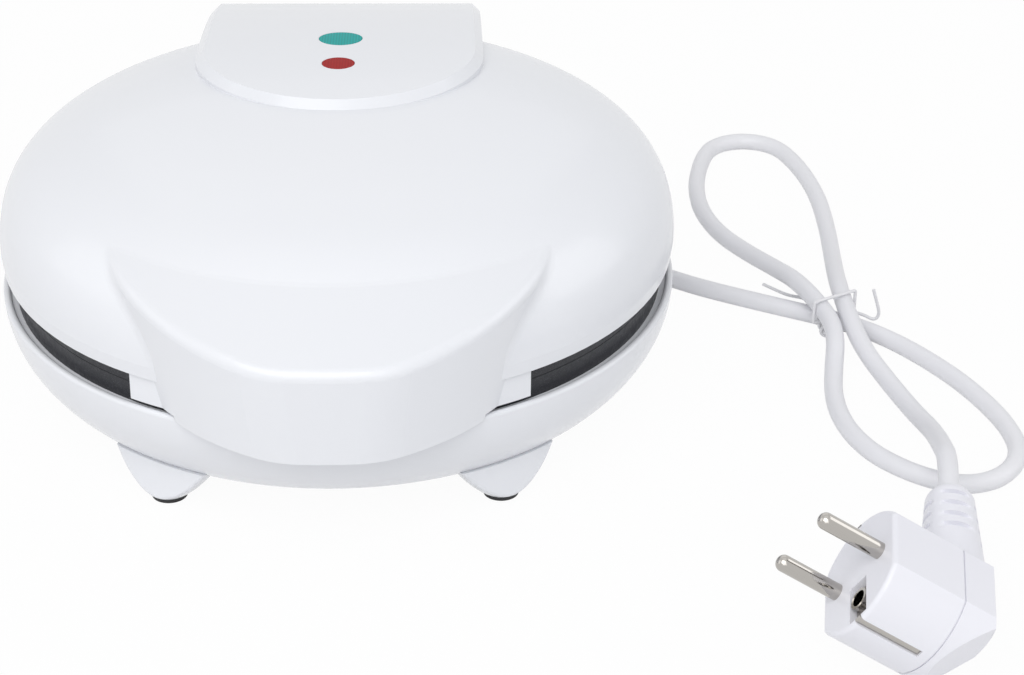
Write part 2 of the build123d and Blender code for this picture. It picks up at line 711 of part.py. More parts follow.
# Base pieces
keep("base_shell", base_bowl())
keep("lower_baking_plate", to_base * plate_body)
keep("lower_heater", to_base * heater())
keep("lower_heat_shield", to_base * shield())
keep("lower_thermostat", to_base * thermostat())
floor_top = floor_gap + shell_wall
long_shank = seam_z - plate_gap - shield_level - floor_top + screw_grip - 1
base_screws = []
for x, y in around(3, boss_circle, 180):
    base_screws.append(drum(screw_head, floor_top - screw_head_height, floor_top, x, y)
                       + drum(screw_radius, floor_top, floor_top + long_shank, x, y))
keep("lower_plate_screws", *base_screws)
keep("cord_box_cover", box_cover())
cover_screws = [small_screw(side * cover_post_x, cover_post_y, box_bottom + 1.2, 12) for side in (1, -1)]
keep("cord_box_screws", *cover_screws)
for side_name, side in (("left", -1), ("right", 1)):
    for end_name, end in (("front", -1), ("rear", 1)):
        x, y = side * foot_x, end * foot_y
        keep("foot_" + end_name + "_" + side_name, foot(x, y))
        pad = drum(foot_pad_radius, 0, foot_pad_show + foot_pad_sunk, x, y)
        keep("foot_pad_" + end_name + "_" + side_name, pad)
    pin_end = housing_half_width - ear_blind - pin_end_gap
    inner, outer = sorted((side * (knuckle_inner_x - pin_tail), side * pin_end))
    keep("hinge_pin_" + side_name, bar(inner, outer, pin_radius, hinge_y, hinge_z))
clamp = block(-clamp_half_width, clamp_half_width, clamp_y - clamp_depth / 2, clamp_y + clamp_depth / 2,
              outlet_z - 4.6, outlet_z - clamp_gap / 2)
clamp -= rod(clamp_y - clamp_depth, clamp_y + clamp_depth, cord_radius, 0, outlet_z)
for side in (1, -1):
    clamp -= drum(clamp_screw_radius + screw_play, 0, FAR, side * clamp_screw_x, clamp_y)
keep("cord_clamp", clamp)
keep("cord_clamp_screws",
     *[small_screw(side * clamp_screw_x, clamp_y, outlet_z - 4.6, 9) for side in (1, -1)])
box_ceiling = box_top - box_wall
terminals = Pos(terminal_block_x, terminal_front_y + terminal_depth / 2, box_ceiling - terminal_height / 2)
terminals *= Box(2 * terminal_half_width, terminal_depth, terminal_height)
for step in (-1, 0, 1):
    terminals -= drum(terminal_bore, 0, box_ceiling - terminal_height / 3,
                      terminal_block_x + terminal_pitch * step, terminal_front_y + terminal_depth / 2)
keep("terminal_block", terminals)
keep("cord_inner", rod(clamp_y - 7, box_back_y + relief_length, cord_radius, 0, outlet_z))
keep("strain_relief", relief())
lower_wire = rod(terminal_front_y - 14.5, terminal_front_y, wire_radius, -wire_x - 3, outlet_z + 2)
riser = tube([(wire_x, hinge_y, hinge_z - 2.8), (wire_x, hinge_y, outlet_z + 3.5),
              (wire_x, hinge_y - 5, outlet_z - 1.5)], [4.0], wire_radius)
keep("lower_wiring", lower_wire, riser)

# Plug pieces, in the plug's own frame: X along the two pins, Y along the cable, Z out of the face
plug_frame = Plane(origin=plug_face, x_dir=pin_line, z_dir=pin_direction)
slot_floor = plug_radius - earth_slot_depth
recess_length = slot_floor - earth_recess_start
recess_y = -earth_recess_start - recess_length / 2


def plug_housing():
    """Moulded body of the angled plug."""
    body = Pos(0, 0, -plug_depth / 2) * Cylinder(plug_radius, plug_depth)
    body &= Pos(0, 0, -plug_depth / 2) * Box(2 * plug_flat, 2 * FAR, plug_depth)
    drop = plug_depth - plug_flat_depth
    back_radius = (plug_flat ** 2 + drop ** 2) / (2 * drop)
    body &= Pos(0, 0, back_radius - plug_depth) * Rot(90, 0, 0) * Cylinder(back_radius, 4 * plug_radius)
    chin = make_face(Polyline(
        (0, -plug_radius - 1, -plug_chin_start), (0, -plug_chin_end, -plug_depth - 1),
        (0, -FAR, -plug_depth - 1), (0, -FAR, -plug_chin_start), close=True))
    body -= extrude(chin, FAR, dir=(1, 0, 0), both=True)
    cheek = make_face(Polyline(
        (-plug_flat - 1, 0, -plug_cheek_start), (0, 0, -plug_depth),
        (0, 0, -FAR), (-FAR, 0, -FAR), (-FAR, 0, -plug_cheek_start), close=True))
    body -= extrude(cheek, FAR, dir=(0, 1, 0), both=True)
    body = fillet(body.faces().sort_by(Axis.Z)[-1].edges(), plug_edge)
    seam = Pos(0, 0, -plug_seam_depth) * Cylinder(FAR, plug_seam)
    core = Pos(0, 0, -plug_seam_depth) * Cylinder(plug_radius - plug_seam, plug_seam)
    body -= seam - (core & Pos(0, 0, -plug_seam_depth) * Box(2 * (plug_flat - plug_seam), FAR, plug_seam))
    for side in (1, -1):
        x = side * plug_pin_spacing / 2
        body -= Pos(x, 0, -plug_pin_root / 2) * Cylinder(plug_pin_tail, plug_pin_root)
        body -= Pos(0, side * (slot_floor + 5), -earth_slot_length / 2) * Box(
            2 * earth_slot_half, 10, earth_slot_length)
    body -= Pos(0, recess_y, -earth_recess_depth / 2) * Box(
        earth_recess_width, recess_length, earth_recess_depth)
    body -= Pos(0, earth_hole_y, -earth_reach / 2) * Cylinder(earth_hole_radius + earth_sheet, earth_reach)
    return body


def plug_boot():
    """Tapered flexible boot with staggered slots."""
    high = boot_end - boot_start
    cone = Pos(0, 0, high / 2) * Cone(boot_root_radius, boot_end_radius, high)
    for step in range(boot_slots):
        for face in range(4):
            level = high - boot_first_slot - (step + 0.5 * (face % 2)) * boot_slot_pitch
            radius = boot_end_radius + (boot_root_radius - boot_end_radius) * (high - level) / high
            cut = Pos(radius, 0, level) * Box(2 * boot_slot_depth, radius * 1.15, boot_slot_width)
            cone -= Rot(0, 0, 90 * face - boot_turn) * cut
    placed = Pos(0, boot_start, -boot_depth) * Rot(-90, 0, 0) * cone
    return placed


housing_body = plug_housing()
boot_body = plug_boot() - housing_body
keep("plug_body", plug_frame * housing_body)
keep("plug_boot", plug_frame * boot_body.solids().sort_by(SortBy.VOLUME)[-1])
for pin_name, side in (("near", -1), ("far", 1)):
    x = side * plug_pin_spacing / 2
    shank = Pos(x, 0, plug_pin_length / 2) * Cylinder(plug_pin_radius, plug_pin_length)
    shank = fillet(shank.edges().sort_by(Axis.Z)[-1], plug_pin_radius * 0.9)
    shank += Pos(x, 0, -plug_pin_root / 2) * Cylinder(plug_pin_tail, plug_pin_root)
    keep("plug_pin_" + pin_name, plug_frame * shank)
socket = Pos(0, earth_hole_y, -earth_reach / 2) * Cylinder(earth_hole_radius + earth_sheet, earth_reach)
socket &= Pos(0, earth_hole_y, -FAR / 2 - earth_play) * Box(FAR, FAR, FAR)
floor_plate = Pos(0, recess_y, earth_sheet / 2 - earth_recess_depth) * Box(
    earth_recess_width - 2 * earth_play, recess_length - 2 * earth_play, earth_sheet)
socket += floor_plate
socket -= Pos(0, earth_hole_y, -earth_reach / 2) * Cylinder(earth_hole_radius, earth_reach)
strips = [
    Pos(0, side * (slot_floor + earth_sheet / 2), -earth_slot_length / 2) * Box(
        2 * (earth_slot_half - earth_play), earth_sheet, earth_slot_length)
    for side in (1, -1)
]
keep("plug_earth_contacts", plug_frame * socket, *[plug_frame * strip for strip in strips])

# Cord route, from the strain relief to the boot, laid as the picture shows it
boot_tip = plug_frame.from_local_coords(Vector(0, boot_end, -boot_depth))
cable_way = plug_frame.y_dir
lead = boot_tip + cable_way * 17
cord_route = [
    (0, box_back_y + relief_length, outlet_z), (0, 163, outlet_z), (4, 180, 15), (11, 193, 6),
    (24, 202, cord_z), (42, 204.5, cord_z), (58, 195, cord_z), (67.5, 176, cord_z), (72, 152, cord_z),
    (75, 127, cord_z), (81, 101, cord_z), (90, 79, cord_z), (102, 62.5, cord_z), (118, 50, cord_z),
    (137, 39.3, cord_z), (150, 32.5, cord_z), (159, 27.7, cord_z), (168, 22.5, cord_z), (178, 14, cord_z),
    (188, 1.5, cord_z), (198.5, -16, cord_z), (206, -35, cord_z), (209, -49.5, cord_z),
    (208.6, -60, cord_z), (204.4, -69.4, cord_z), (197, -76, cord_z), (187.8, -77.8, cord_z),
    (178.6, -74.2, cord_z), (169.8, -67, cord_z), (162.5, -57.5, cord_z), (157.5, -44, cord_z),
    (156, -27, cord_z), (158.3, -10, 4.5), (160.3, 1, 9.5), (159.7, 13, hump_z), (152.6, 37, hump_z),
    (147, 55, 7), (139.5, 73, 3.6), (131, 89, cord_z), (126.3, 107, cord_z), (126, 125, cord_z),
    (128.2, 140, cord_z), (131.3, 152.3, cord_z), (134.8, 160.4, cord_z), (140.7, 165.4, cord_z),
    (148.1, 167.1, cord_z), (155.5, 164.9, cord_z), (161.1, 159.4, cord_z), (165.2, 148, cord_z),
    (168.3, 134, cord_z), (170.3, 116, cord_z), (170.2, 92, cord_z), (168.3, 66, 5), (165.5, 37, hump_z),
    (166, 12, hump_z), (169.2, -3, 7), (175.5, -20, 4), (180, -38, 4.5), (182.5, -57, 9),
    (lead.X + 1.5, lead.Y + 15, lead.Z - 5.5), tuple(lead), tuple(boot_tip),
]


def widest_bends(points):
    """Arc radius at each corner: as large as its two runs allow."""
    bends = []
    for before, here, after in zip(points, points[1:], points[2:]):
        first = Vector(*here) - Vector(*before)
        second = Vector(*after) - Vector(*here)
        turn = math.radians(first.get_angle(second))
        bends.append(0.45 * min(first.length, second.length) / math.tan(turn / 2))
    return bends


bends = widest_bends(cord_route)
cord_path = FilletPolyline(*cord_route, radius=bends)
cord = sweep(Plane(origin=cord_path @ 0, z_dir=cord_path % 0) * Circle(cord_radius), path=cord_path)
keep("cord", cord)
section = math.pi * cord_radius ** 2
print("cord bends", [round(bend, 1) for bend in bends])
share = cord.volume / section / cord_path.length
print("cord length", round(cord_path.length, 1), "volume share", round(share, 5))
spots = [cord_path @ (step / 1000) for step in range(1001)]
near = 6 * cord_radius / cord_path.length * 1000
gaps = [(a - b).length for i, a in enumerate(spots) for b in spots[i + int(near):]]
print("least gap of the cord to itself", round(min(gaps) - 2 * cord_radius, 2))

# Wire tie round the two raised strands, with its two loose ends
tie_low = cord_z + cord_radius + (hump_z - cord_z - 2 * cord_radius) / 2 - tie_middle_z
tie_plane = Plane(origin=tie_centre, x_dir=tie_way, z_dir=(tie_way[1], -tie_way[0], 0))
tie_loop = FilletPolyline(
    (0, tie_low), (-tie_half_width, tie_low), (-tie_half_width, tie_high), (tie_half_width, tie_high),
    (tie_half_width, tie_low), (0.5, tie_low), radius=tie_corner)
wire = sweep(Plane(origin=tie_loop @ 0, z_dir=tie_loop % 0) * Circle(tie_radius), path=tie_loop)
keep("twist_tie", tie_plane * wire)

whole = Compound(children=list(built.values()))
bounds = whole.bounding_box()
print("box", bounds.min, bounds.max)
plug_lows = [node.bounding_box().min.Z for name, node in built.items() if name.startswith("plug")]
print("lowest plug point", round(min(plug_lows), 2))
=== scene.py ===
import json
import math
import bpy
from mathutils import Matrix, Vector


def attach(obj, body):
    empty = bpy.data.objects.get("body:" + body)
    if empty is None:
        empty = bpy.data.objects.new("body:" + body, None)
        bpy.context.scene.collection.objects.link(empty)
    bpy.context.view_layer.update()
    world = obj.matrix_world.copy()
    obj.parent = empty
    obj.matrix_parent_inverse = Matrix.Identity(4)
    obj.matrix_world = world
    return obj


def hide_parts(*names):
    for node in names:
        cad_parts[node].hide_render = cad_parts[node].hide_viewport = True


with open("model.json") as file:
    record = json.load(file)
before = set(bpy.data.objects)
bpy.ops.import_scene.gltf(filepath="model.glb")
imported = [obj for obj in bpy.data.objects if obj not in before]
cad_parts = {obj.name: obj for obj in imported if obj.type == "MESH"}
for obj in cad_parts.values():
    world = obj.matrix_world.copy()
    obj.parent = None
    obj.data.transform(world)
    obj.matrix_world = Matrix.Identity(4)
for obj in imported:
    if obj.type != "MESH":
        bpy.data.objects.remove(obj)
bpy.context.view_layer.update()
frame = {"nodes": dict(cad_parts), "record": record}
nodes = frame["nodes"]
scene = bpy.context.scene
MM = 0.001

# Camera, in millimetres, degrees and pixels
CAMERA_PLACE = (30.87, -724.08, 416.99)
CAMERA_YAW = 1.89
CAMERA_PITCH = 29.26
CAMERA_ROLL = -0.62
FOCAL_PIXELS = 2567.4
PICTURE_WIDTH = 1024
SENSOR_WIDTH = 36.0
NEAR_CLIP = 0.01

# Floor and soft light from all round
FLOOR_HALF = 6.0
FLOOR_COLOR = (0.82, 0.82, 0.825)
FLOOR_WHITENING = 0.96
SKY_COLOR = (0.97, 0.98, 1.0, 1.0)
SKY_STRENGTH = 0.50
WHITE = (1.0, 1.0, 1.0, 1.0)

# Lamps that point at AIM: place, width and depth in metres, power in watts
AIM = (0.0, 0.0, 0.05)
LAMPS = {
    "light_key": ((-0.421, -1.043, 1.39), 1.6, 1.2, 12.1),
    "light_front": ((0.0, -1.35, 1.05), 1.6, 1.0, 5.1),
    "light_low": ((0.1, -1.65, 0.55), 1.4, 0.5, 1.5),
    "light_top": ((0.0, -0.1, 1.75), 1.4, 1.2, 1.0),
    "light_left": ((-1.5, 0.0, 0.7), 1.0, 1.0, 1.7),
    "light_right": ((1.5, 0.0, 0.7), 1.0, 1.0, 3.4),
    "light_back": ((0.0, 1.3, 1.1), 1.4, 1.0, 1.1),
}

# Depths of fine relief, in metres, and the range that most of a noise texture lies in
GRAIN_DEPTH = 0.0002
BRUSH_DEPTH = 0.0001
NOISE_LOW = 0.3
NOISE_HIGH = 0.7

# Flecks of the non-stick coat, which fade between two distances from the middle of a cell
FLECK_FULL = 0.10
FLECK_GONE = 0.32

# Lenses: pitch of the ribs inside them and reach of spread light, in metres, and its share
LENS_RIB_PITCH = 0.0009
LENS_SPREAD = 0.002
LENS_SPREAD_SHARE = 0.15

# A wave texture of scale 1 repeats every pi / 10
WAVE_PERIOD = math.pi / 10

# Sockets of a colour mix node, whose names repeat
MIX_FACTOR = 0
MIX_FIRST = 6
MIX_SECOND = 7
MIX_RESULT = 2

# Fineness of round wires: steps between two control points, and steps round a quarter
CURVE_STEPS = 12
ROUND_STEPS = 6

# Cord, in millimetres, as the part has it
CORD_RADIUS = 3.0
CORD_Z = 3.1
HUMP_Z = 11.2
CORD_START = (0, 151, 22.5)
CORD_ROUTE = [
    CORD_START, (0, 163, 22.5), (4, 180, 15), (11, 193, 6), (24, 202, CORD_Z),
    (42, 204.5, CORD_Z), (58, 195, CORD_Z), (67.5, 176, CORD_Z), (72, 152, CORD_Z), (75, 127, CORD_Z),
    (81, 101, CORD_Z), (90, 79, CORD_Z), (102, 62.5, CORD_Z), (118, 50, CORD_Z), (137, 39.3, CORD_Z),
    (150, 32.5, CORD_Z), (159, 27.7, CORD_Z), (168, 22.5, CORD_Z), (178, 14, CORD_Z), (188, 1.5, CORD_Z),
    (198.5, -16, CORD_Z), (206, -35, CORD_Z), (209, -49.5, CORD_Z), (208.6, -60, CORD_Z),
    (204.4, -69.4, CORD_Z), (197, -76, CORD_Z), (187.8, -77.8, CORD_Z), (178.6, -74.2, CORD_Z),
    (169.8, -67, CORD_Z), (162.5, -57.5, CORD_Z), (157.5, -44, CORD_Z), (156, -27, CORD_Z),
    (158.3, -10, 4.5), (160.3, 1, 9.5), (159.7, 13, HUMP_Z), (152.6, 37, HUMP_Z), (147, 55, 7),
    (139.5, 73, 3.6), (131, 89, CORD_Z), (126.3, 107, CORD_Z), (126, 125, CORD_Z), (128.2, 140, CORD_Z),
    (131.3, 152.3, CORD_Z), (134.8, 160.4, CORD_Z), (140.7, 165.4, CORD_Z), (148.1, 167.1, CORD_Z),
    (155.5, 164.9, CORD_Z), (161.1, 159.4, CORD_Z), (165.2, 148, CORD_Z), (168.3, 134, CORD_Z),
    (170.3, 116, CORD_Z), (170.2, 92, CORD_Z), (168.3, 66, 5), (165.5, 37, HUMP_Z), (166, 12, HUMP_Z),
    (169.2, -3, 7), (175.5, -20, 4), (180, -38, 4.5), (182.5, -57, 9),
]
LEAD_LENGTH = 17.0
LEAD_BEND = Vector((1.5, 15.0, -5.5))

# The plug's frame: the middle of its face, the way the pins point and the line through both pins
PLUG_FACE = Vector((142.4, -161.0, 29.25))
PLUG_OUT = Vector((-0.852, 0.036, 0.522)).normalized()
PIN_LINE = Vector((0.505, -0.205, 0.839))
PLUG_ROW = (PIN_LINE - PLUG_OUT * PIN_LINE.dot(PLUG_OUT)).normalized()
PLUG_CABLE = PLUG_OUT.cross(PLUG_ROW)

# The plug's flexible boot, along the cord from the middle of the plug
BOOT_START = 4.0
BOOT_END = 51.5
BOOT_DEPTH = 31.5
BOOT_ROOT_RADIUS = 10.5
BOOT_SHOULDER_RADIUS = 7.2
BOOT_SHOULDER = 4.0
BOOT_TIP_RADIUS = 3.5
BOOT_TURN = math.radians(24.0)
BOOT_FIRST_SLOT = 5.6
BOOT_SLOTS = 4
BOOT_SLOT_PITCH = 4.9
BOOT_SLOT_WIDTH = 1.7
BOOT_SLOT_DEPTH = 1.5
BOOT_SLOT_REACH = math.radians(38.0)
BOOT_RINGS = 190
BOOT_SIDES = 80
BOOT_SHARP = math.radians(50.0)

# Wire tie: a loop across and up from its middle, the twist at its end and two loose tails
TIE_MIDDLE = Vector((162.2, 19.9, 11.0))
TIE_WAY = Vector((0.875, 0.485, 0.0))
TIE_HALF_WIDTH = 8.4
TIE_LOW = -3.85
TIE_HIGH = 3.95
TIE_CORNER = 1.6
TIE_LAP = 0.5
TIE_RADIUS = 0.55
TWIST_START = Vector((157.2, 21.0, 7.2))
TWIST_END = Vector((158.8, 15.2, 2.6))
TWIST_TURNS = 1.75
TWIST_STEPS = 14
TWIST_RADIUS = 0.75
LEFT_TAIL = [
    TWIST_START, (156.2, 27, 7.0), (154.8, 37, 5.2), (150.3, 42.5, 3.0), (145.8, 50, 1.7),
    (142.9, 53.5, 1.6),
]
RIGHT_TAIL_INSET = 1.0
RIGHT_TAIL = [
    (172.5, 24.8, 5.6), (176.6, 23.7, 3.6), (178.2, 23.4, 6.0), (177.0, 23.2, 10.5),
    (175.4, 23.2, 15.6),
]


def new_node(tree, kind, **values):
    """A shader node with its sockets set by name."""
    node = tree.nodes.new(kind)
    for name, value in values.items():
        node.inputs[name].default_value = value
    return node


def plain_material(name, color, roughness, specular=0.5, metallic=0.0, coat=0.0):
    """A Principled material with its whole-surface values on the shader's own sockets."""
    material = bpy.data.materials.new(name)
    material.use_nodes = True
    shader = material.node_tree.nodes["Principled BSDF"]
    shader.inputs["Base Color"].default_value = (*color, 1.0)
    shader.inputs["Roughness"].default_value = roughness
    shader.inputs["Specular IOR Level"].default_value = specular
    shader.inputs["Metallic"].default_value = metallic
    shader.inputs["Coat Weight"].default_value = coat
    material.diffuse_color = (*color, 1.0)
    return material, shader


def in_place(tree, texture):
    """Lay a texture out in the object's own space, in metres."""
    place = tree.nodes.new("ShaderNodeTexCoord")
    tree.links.new(place.outputs["Object"], texture.inputs["Vector"])


def map_range(tree, value, from_low, from_high, to_low, to_high):
    """A socket's value carried from one range to another, and kept in it."""
    spread = tree.nodes.new("ShaderNodeMapRange")
    spread.inputs["From Min"].default_value = from_low
    spread.inputs["From Max"].default_value = from_high
    spread.inputs["To Min"].default_value = to_low
    spread.inputs["To Max"].default_value = to_high
    tree.links.new(value, spread.inputs["Value"])
    return spread.outputs["Result"]


def noise_between(tree, low, high, scale, detail=2.0):
    """Object-space noise mapped to a range."""
    noise = new_node(tree, "ShaderNodeTexNoise", Scale=scale, Detail=detail)
    in_place(tree, noise)
    return map_range(tree, noise.outputs["Fac"], NOISE_LOW, NOISE_HIGH, low, high)


def mix_colors(tree, factor, first, second):
    """Colour between two by a factor socket."""
    mix = tree.nodes.new("ShaderNodeMix")
    mix.data_type = "RGBA"
    mix.inputs[MIX_FIRST].default_value = (*first, 1.0)
    mix.inputs[MIX_SECOND].default_value = (*second, 1.0)
    tree.links.new(factor, mix.inputs[MIX_FACTOR])
    return mix.outputs[MIX_RESULT]


def add_bump(tree, shader, height, strength, distance):
    """Fine relief from a height socket."""
    bump = new_node(tree, "ShaderNodeBump", Strength=strength, Distance=distance)
    tree.links.new(height, bump.inputs["Height"])
    tree.links.new(bump.outputs["Normal"], shader.inputs["Normal"])


def moulded(name, color, shade, roughness, grain=0.0, coat=0.0, grain_scale=900.0):
    """Moulded plastic: faint tone drift, roughness drift and a fine grain."""
    material, shader = plain_material(name, color, roughness, coat=coat)
    tree = material.node_tree
    drift = noise_between(tree, 0.0, 1.0, scale=9.0, detail=0.0)
    tree.links.new(mix_colors(tree, drift, color, shade), shader.inputs["Base Color"])
    gloss = noise_between(tree, roughness * 0.95, roughness * 1.06, scale=30.0, detail=1.0)
    tree.links.new(gloss, shader.inputs["Roughness"])
    if grain:
        add_bump(tree, shader, noise_between(tree, 0.0, 1.0, grain_scale), grain, GRAIN_DEPTH)
    return material


def speckled(name, color, fleck, roughness, scale):
    """Non-stick coat: dark ground with fine lighter flecks and an orange-peel relief."""
    material, shader = plain_material(name, color, roughness, specular=0.3)
    tree = material.node_tree
    cells = new_node(tree, "ShaderNodeTexVoronoi", Scale=scale)
    in_place(tree, cells)
    flecks = map_range(tree, cells.outputs["Distance"], FLECK_FULL, FLECK_GONE, 1.0, 0.0)
    tree.links.new(mix_colors(tree, flecks, color, fleck), shader.inputs["Base Color"])
    gloss = noise_between(tree, roughness * 0.8, roughness * 1.2, scale=500.0)
    tree.links.new(gloss, shader.inputs["Roughness"])
    add_bump(tree, shader, noise_between(tree, 0.0, 1.0, scale=1100.0), 0.25, GRAIN_DEPTH)
    return material


def metal(name, color, roughness, brushed=0.0):
    """Metal with a fine uneven polish."""
    material, shader = plain_material(name, color, roughness, metallic=1.0)
    tree = material.node_tree
    gloss = noise_between(tree, roughness * 0.7, roughness * 1.3, scale=250.0, detail=4.0)
    tree.links.new(gloss, shader.inputs["Roughness"])
    if brushed:
        add_bump(tree, shader, noise_between(tree, 0.0, 1.0, scale=1400.0), brushed, BRUSH_DEPTH)
    return material


def lens(name, color, deep):
    """Tinted translucent plastic with fine ribs."""
    material, shader = plain_material(name, color, 0.24, specular=0.03)
    tree = material.node_tree
    ribs = new_node(tree, "ShaderNodeTexWave", Scale=WAVE_PERIOD / LENS_RIB_PITCH)
    in_place(tree, ribs)
    tree.links.new(mix_colors(tree, ribs.outputs["Fac"], color, deep), shader.inputs["Base Color"])
    shader.inputs["Subsurface Weight"].default_value = LENS_SPREAD_SHARE
    shader.inputs["Subsurface Radius"].default_value = (LENS_SPREAD, LENS_SPREAD, LENS_SPREAD)
    return material


MATERIALS = {
    "white_shell": moulded("white_shell", (0.79, 0.80, 0.83), (0.78, 0.793, 0.827), 0.25, 0.02, coat=0.14),
    "white_inner": moulded("white_inner", (0.70, 0.71, 0.72), (0.66, 0.67, 0.69), 0.45, 0.12),
    "non_stick": speckled("non_stick", (0.030, 0.031, 0.036), (0.085, 0.088, 0.098), 0.42, 2600.0),
    "steel": metal("steel", (0.56, 0.56, 0.57), 0.30, 0.05),
    "heater_steel": metal("heater_steel", (0.28, 0.26, 0.24), 0.42, 0.10),
    "reflector": metal("reflector", (0.72, 0.72, 0.73), 0.28, 0.08),
    "switch_body": moulded("switch_body", (0.025, 0.025, 0.026), (0.035, 0.034, 0.034), 0.50, 0.20),
    "ceramic": moulded("ceramic", (0.78, 0.75, 0.68), (0.72, 0.69, 0.62), 0.55, 0.15),
    "wire_jacket": moulded(
        "wire_jacket", (0.45, 0.43, 0.38), (0.33, 0.31, 0.27), 0.75, 0.60, grain_scale=1500.0
    ),
    "board": moulded("board", (0.36, 0.25, 0.10), (0.30, 0.20, 0.08), 0.50, 0.10),
    "lamp_glass": moulded("lamp_glass", (0.85, 0.55, 0.30), (0.80, 0.50, 0.28), 0.10),
    "red_lens": lens("red_lens", (0.37, 0.011, 0.011), (0.31, 0.008, 0.008)),
    "green_lens": lens("green_lens", (0.0, 0.39, 0.37), (0.0, 0.29, 0.27)),
    "black_rubber": moulded("black_rubber", (0.018, 0.018, 0.019), (0.028, 0.028, 0.030), 0.70, 0.30),
    "cord_white": moulded("cord_white", (0.79, 0.79, 0.815), (0.77, 0.77, 0.80), 0.42, 0.08),
    "tie_white": moulded("tie_white", (0.78, 0.78, 0.79), (0.74, 0.74, 0.76), 0.38),
    "plug_white": moulded("plug_white", (0.81, 0.81, 0.855), (0.79, 0.79, 0.84), 0.34, 0.05),
    "plated_brass": metal("plated_brass", (0.46, 0.44, 0.415), 0.11),
}

slot_of = {part["node"]: part["material_slot"] for part in frame["record"]["subparts"]}
for name, node in nodes.items():
    node.data.materials.clear()
    node.data.materials.append(MATERIALS[slot_of[name]])


def wire(name, strands, radius):
    """Round wires along smooth curves whose control points are given in millimetres."""
    data = bpy.data.curves.new(name, "CURVE")
    data.dimensions = "3D"
    data.resolution_u = CURVE_STEPS
    data.bevel_depth = radius * MM
    data.bevel_resolution = ROUND_STEPS
    data.use_fill_caps = True
    for points in strands:
        spline = data.splines.new("NURBS")
        spline.points.add(len(points) - 1)
        for place, point in zip(spline.points, points):
            place.co = (point[0] * MM, point[1] * MM, point[2] * MM, 1.0)
        spline.order_u = 3
        spline.use_endpoint_u = True
    made = bpy.data.objects.new(name, data)
    scene.collection.objects.link(made)
    return made


def boot_outline(level):
    """Radius of the boot without its slots, at a height above its root."""
    below = BOOT_END - BOOT_START - BOOT_SHOULDER
    if level <= below:
        return BOOT_ROOT_RADIUS + (BOOT_SHOULDER_RADIUS - BOOT_ROOT_RADIUS) * level / below
    share = min(1.0, (level - below) / BOOT_SHOULDER)
    return BOOT_TIP_RADIUS + (BOOT_SHOULDER_RADIUS - BOOT_TIP_RADIUS) * math.sqrt(1 - share * share)


def boot_radius(level, angle):
    """Radius of the boot with its slots, which are staggered from face to face."""
    radius = boot_outline(level)
    for face in range(4):
        away = (angle + BOOT_TURN - face * math.pi / 2 + math.pi) % (2 * math.pi) - math.pi
        if abs(away) > BOOT_SLOT_REACH:
            continue
        for step in range(BOOT_SLOTS):
            middle = BOOT_END - BOOT_START - BOOT_FIRST_SLOT - (step + 0.5 * (face % 2)) * BOOT_SLOT_PITCH
            if abs(level - middle) < BOOT_SLOT_WIDTH / 2:
                radius = min(radius, (boot_outline(middle) - BOOT_SLOT_DEPTH) / math.cos(away))
    return radius


def turned_boot():
    """Mesh of the boot, in rings from its root to its tip."""
    points = []
    root_ring = range(BOOT_SIDES)
    tip_ring = range(BOOT_RINGS * BOOT_SIDES, (BOOT_RINGS + 1) * BOOT_SIDES)
    faces = [tuple(reversed(root_ring))]
    for ring in range(BOOT_RINGS + 1):
        level = (BOOT_END - BOOT_START) * ring / BOOT_RINGS
        for side in range(BOOT_SIDES):
            angle = 2 * math.pi * side / BOOT_SIDES
            radius = boot_radius(level, angle)
            across = PLUG_ROW * (radius * math.cos(angle))
            inward = PLUG_OUT * (BOOT_DEPTH + radius * math.sin(angle))
            points.append((PLUG_FACE + PLUG_CABLE * (BOOT_START + level) + across - inward) * MM)
    for ring in range(BOOT_RINGS):
        for side in range(BOOT_SIDES):
            here = ring * BOOT_SIDES + side
            beside = ring * BOOT_SIDES + (side + 1) % BOOT_SIDES
            faces.append((here, beside, beside + BOOT_SIDES, here + BOOT_SIDES))
    faces.append(tuple(tip_ring))
    mesh = bpy.data.meshes.new("cord_boot")
    mesh.from_pydata(points, [], faces)
    mesh.shade_smooth()
    mesh.set_sharp_from_angle(angle=BOOT_SHARP)
    made = bpy.data.objects.new("cord_boot", mesh)
    scene.collection.objects.link(made)
    return made


boot = turned_boot()
boot.data.materials.append(MATERIALS[slot_of["plug_boot"]])
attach(boot, "base")
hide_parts("plug_boot")

# The cord, which ends in the boot
boot_tip = PLUG_FACE + PLUG_CABLE * BOOT_END - PLUG_OUT * BOOT_DEPTH
lead = boot_tip + PLUG_CABLE * LEAD_LENGTH
route = CORD_ROUTE + [tuple(lead + LEAD_BEND), tuple(lead), tuple(boot_tip)]
cord = wire("mains_cord", [route], CORD_RADIUS)
cord.data.materials.append(MATERIALS["cord_white"])
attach(cord, "base")
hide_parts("cord")


def tie_point(across, up):
    """Point of the tie's own plane, in millimetres."""
    return TIE_MIDDLE + TIE_WAY * across + Vector((0.0, 0.0, up))


def twist(offset):
    """One strand of the twisted end of the tie."""
    way = (TWIST_END - TWIST_START).normalized()
    side = way.orthogonal().normalized()
    other = way.cross(side)
    points = []
    for step in range(TWIST_STEPS + 1):
        share = step / TWIST_STEPS
        angle = offset + 2 * math.pi * TWIST_TURNS * share
        ring = side * math.cos(angle) + other * math.sin(angle)
        points.append(TWIST_START.lerp(TWIST_END, share) + ring * TWIST_RADIUS)
    return points


